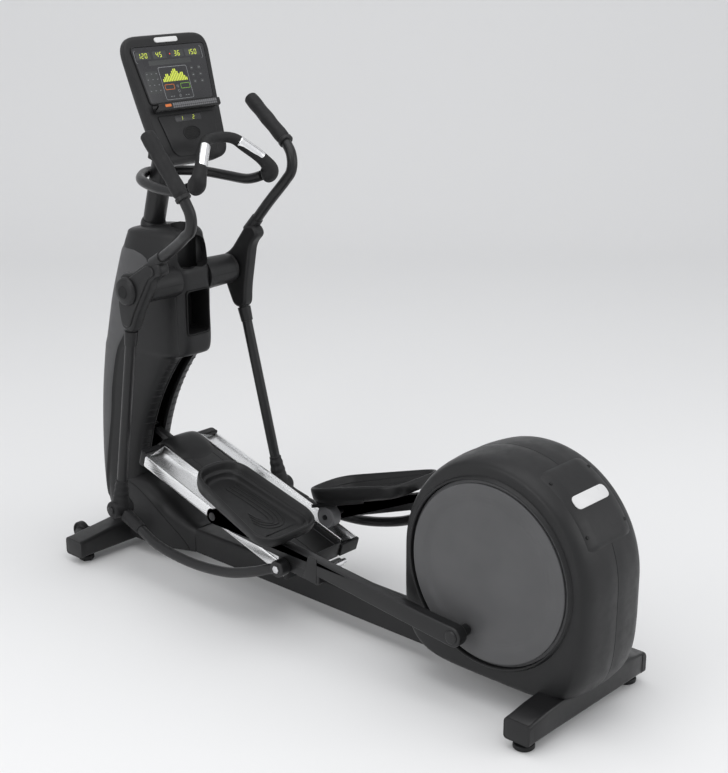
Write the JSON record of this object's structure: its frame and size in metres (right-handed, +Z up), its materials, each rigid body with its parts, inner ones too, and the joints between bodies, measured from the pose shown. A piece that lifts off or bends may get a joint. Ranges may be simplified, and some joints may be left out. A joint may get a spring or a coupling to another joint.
{
  "type": "elliptical trainer",
  "caption": "Rear-crank elliptical trainer with an adjustable ramp, swinging handlebars, console on a mast, cup holder and levelling feet.",
  "frame": {"origin": "on the floor under the middle of the machine's overall box", "axes": "+X towards the crank end behind the user, +Y towards the user's right, +Z up"},
  "size_m": [2.0543, 0.668, 1.7372],
  "materials": {
    "aluminium": "polished extrusion",
    "black_paint": "black powder coat on steel",
    "black_plastic": "charcoal moulded plastic, satin",
    "disc_grey": "mid grey, smooth satin",
    "glass": "black display window",
    "grey_plastic": "lighter grey moulded plastic, satin",
    "rubber": "black, matt",
    "steel": "plain machined"
  },
  "bodies": {
    "frame": {"base_cover": "black_plastic", "beam_cover": "black_plastic", "console_face": "glass", "console_shell": "black_plastic", "drive_belt": "rubber", "drive_frame": "black_paint", "frame_post": "black_paint", "front_foot": "black_paint", "generator_housing": "steel", "hand_grips": "rubber", "handlebar_shaft": "steel", "handrail": "black_paint", "lift_motor": "black_paint", "lift_screw": "steel", "main_beam": "black_paint", "mast": "black_paint", "ramp_hinge": "black_paint", "reading_shelf": "grey_plastic", "rear_cover_left": "black_plastic", "rear_cover_right": "black_plastic", "rear_foot": "black_paint", "rear_top_cap": "black_plastic", "storage_bin": "black_plastic", "tower_front_panel": "grey_plastic", "tower_lower_cover": "black_plastic", "tower_upper_cover": "black_plastic"},
    "boot_left": {"lower_boot_left": "rubber"},
    "boot_right": {"lower_boot_right": "rubber"},
    "carriage_left": {"roller_axle_left": "steel"},
    "carriage_right": {"roller_axle_right": "steel"},
    "crank": {"crank_disc_left": "disc_grey", "crank_disc_right": "disc_grey", "crankshaft": "steel", "drive_pulley": "black_plastic"},
    "handlebar_left": {"handlebar_grip_left": "rubber", "handlebar_left": "black_paint", "lower_arm_left": "black_paint", "pivot_housing_left": "black_plastic"},
    "handlebar_right": {"handlebar_grip_right": "rubber", "handlebar_right": "black_paint", "lower_arm_right": "black_paint", "pivot_housing_right": "black_plastic"},
    "leveller_left": {"leveller_left": "rubber"},
    "leveller_right": {"leveller_right": "rubber"},
    "link_left": {"link_left": "black_paint"},
    "link_right": {"link_right": "black_paint"},
    "nut": {"lift_nut": "steel"},
    "pedal_arm_left": {"pedal_arm_left": "black_paint", "pedal_left": "rubber"},
    "pedal_arm_right": {"pedal_arm_right": "black_paint", "pedal_right": "rubber"},
    "ramp": {"ramp_deck": "black_plastic", "ramp_track_left": "aluminium", "ramp_track_right": "aluminium"},
    "roller_left": {"roller_left": "grey_plastic"},
    "roller_right": {"roller_right": "grey_plastic"},
    "rotor": {"generator_rotor": "steel"},
    "transport_wheel_left": {"transport_wheel_left": "rubber"},
    "transport_wheel_right": {"transport_wheel_right": "rubber"}
  },
  "joints": [
    {"name": "crank_spin", "type": "hinge", "parent": "frame", "child": "crank", "pos_m": [0.701, 0, 0.398], "axis": [0, 1, 0], "continuous": true},
    {"name": "rotor_spin", "type": "hinge", "parent": "frame", "child": "rotor", "pos_m": [0.49, 0, 0.27], "axis": [0, 1, 0], "continuous": true},
    {"name": "ramp_lift", "type": "hinge", "parent": "frame", "child": "ramp", "pos_m": [0, 0, 0.165], "axis": [0, 1, 0], "range_deg": [-4, 23]},
    {"name": "lift_nut_travel", "type": "slide", "parent": "frame", "child": "nut", "axis": [0.4772, 0, 0.8788], "range_m": [-0.064, 0.362]},
    {"name": "stride_left", "type": "slide", "parent": "ramp", "child": "carriage_left", "axis": [0.9563, 0, -0.2924], "range_m": [-0.067, 0.195]},
    {"name": "stride_right", "type": "slide", "parent": "ramp", "child": "carriage_right", "axis": [0.9563, 0, -0.2924], "range_m": [-0.195, 0.067]},
    {"name": "roller_spin_left", "type": "hinge", "parent": "carriage_left", "child": "roller_left", "pos_m": [-0.31187, 0, 0.30782], "axis": [0, 1, 0], "range_deg": [-109, 312.5]},
    {"name": "pedal_arm_pitch_left", "type": "hinge", "parent": "carriage_left", "child": "pedal_arm_left", "pos_m": [-0.31187, 0, 0.30782], "axis": [0, 1, 0], "range_deg": [-17, 3.5]},
    {"name": "handlebar_swing_left", "type": "hinge", "parent": "frame", "child": "handlebar_left", "pos_m": [-0.644, 0, 0.976], "axis": [0, 1, 0], "range_deg": [-14.5, 5.5]},
    {"name": "boot_turn_left", "type": "hinge", "parent": "handlebar_left", "child": "boot_left", "pos_m": [-0.74277, 0, 0.22557], "axis": [0, 1, 0], "range_deg": [-7, 20]},
    {"name": "link_pitch_left", "type": "hinge", "parent": "boot_left", "child": "link_left", "pos_m": [-0.74277, 0, 0.22557], "axis": [0, 1, 0], "range_deg": [-6, 1.5]},
    {"name": "transport_wheel_spin_left", "type": "hinge", "parent": "frame", "child": "transport_wheel_left", "pos_m": [-0.991, -0.215, 0.064], "axis": [0, 1, 0], "continuous": true},
    {"name": "leveller_turn_left", "type": "hinge", "parent": "frame", "child": "leveller_left", "pos_m": [0.914, -0.244, 0], "axis": [0, 0, 1], "range_deg": [-180, 180]},
    {"name": "roller_spin_right", "type": "hinge", "parent": "carriage_right", "child": "roller_right", "pos_m": [-0.13687, 0, 0.25432], "axis": [0, 1, 0], "range_deg": [-312.5, 109]},
    {"name": "pedal_arm_pitch_right", "type": "hinge", "parent": "carriage_right", "child": "pedal_arm_right", "pos_m": [-0.13687, 0, 0.25432], "axis": [0, 1, 0], "range_deg": [-20.5, 4]},
    {"name": "handlebar_swing_right", "type": "hinge", "parent": "frame", "child": "handlebar_right", "pos_m": [-0.644, 0, 0.976], "axis": [0, 1, 0], "range_deg": [-5.5, 14.5]},
    {"name": "boot_turn_right", "type": "hinge", "parent": "handlebar_right", "child": "boot_right", "pos_m": [-0.47242, 0, 0.2388], "axis": [0, 1, 0], "range_deg": [-21, 7.5]},
    {"name": "link_pitch_right", "type": "hinge", "parent": "boot_right", "child": "link_right", "pos_m": [-0.47242, 0, 0.2388], "axis": [0, 1, 0], "range_deg": [-2.5, 1]},
    {"name": "transport_wheel_spin_right", "type": "hinge", "parent": "frame", "child": "transport_wheel_right", "pos_m": [-0.991, 0.215, 0.064], "axis": [0, 1, 0], "continuous": true},
    {"name": "leveller_turn_right", "type": "hinge", "parent": "frame", "child": "leveller_right", "pos_m": [0.914, 0.244, 0], "axis": [0, 0, 1], "range_deg": [-180, 180]}
  ],
  "couplings": [
    {"joint": "rotor_spin", "follows": "crank_spin", "ratio": 5.7812},
    {"joint": "lift_nut_travel", "follows": "ramp_lift", "m_per_rad": 0.89894},
    {"joint": "stride_right", "follows": "stride_left", "ratio": -1},
    {"joint": "roller_spin_left", "follows": "stride_left", "rad_per_m": 27.778},
    {"joint": "pedal_arm_pitch_left", "follows": "ramp_lift", "ratio": -0.7096},
    {"joint": "handlebar_swing_left", "follows": "stride_left", "rad_per_m": -1.245},
    {"joint": "boot_turn_left", "follows": "stride_left", "rad_per_m": 1.735},
    {"joint": "link_pitch_left", "follows": "ramp_lift", "ratio": -0.246},
    {"joint": "roller_spin_right", "follows": "stride_left", "rad_per_m": -27.778},
    {"joint": "pedal_arm_pitch_right", "follows": "ramp_lift", "ratio": -0.8736},
    {"joint": "handlebar_swing_right", "follows": "stride_left", "rad_per_m": 1.245},
    {"joint": "boot_turn_right", "follows": "stride_left", "rad_per_m": -1.821},
    {"joint": "link_pitch_right", "follows": "ramp_lift", "ratio": -0.086}
  ]
}
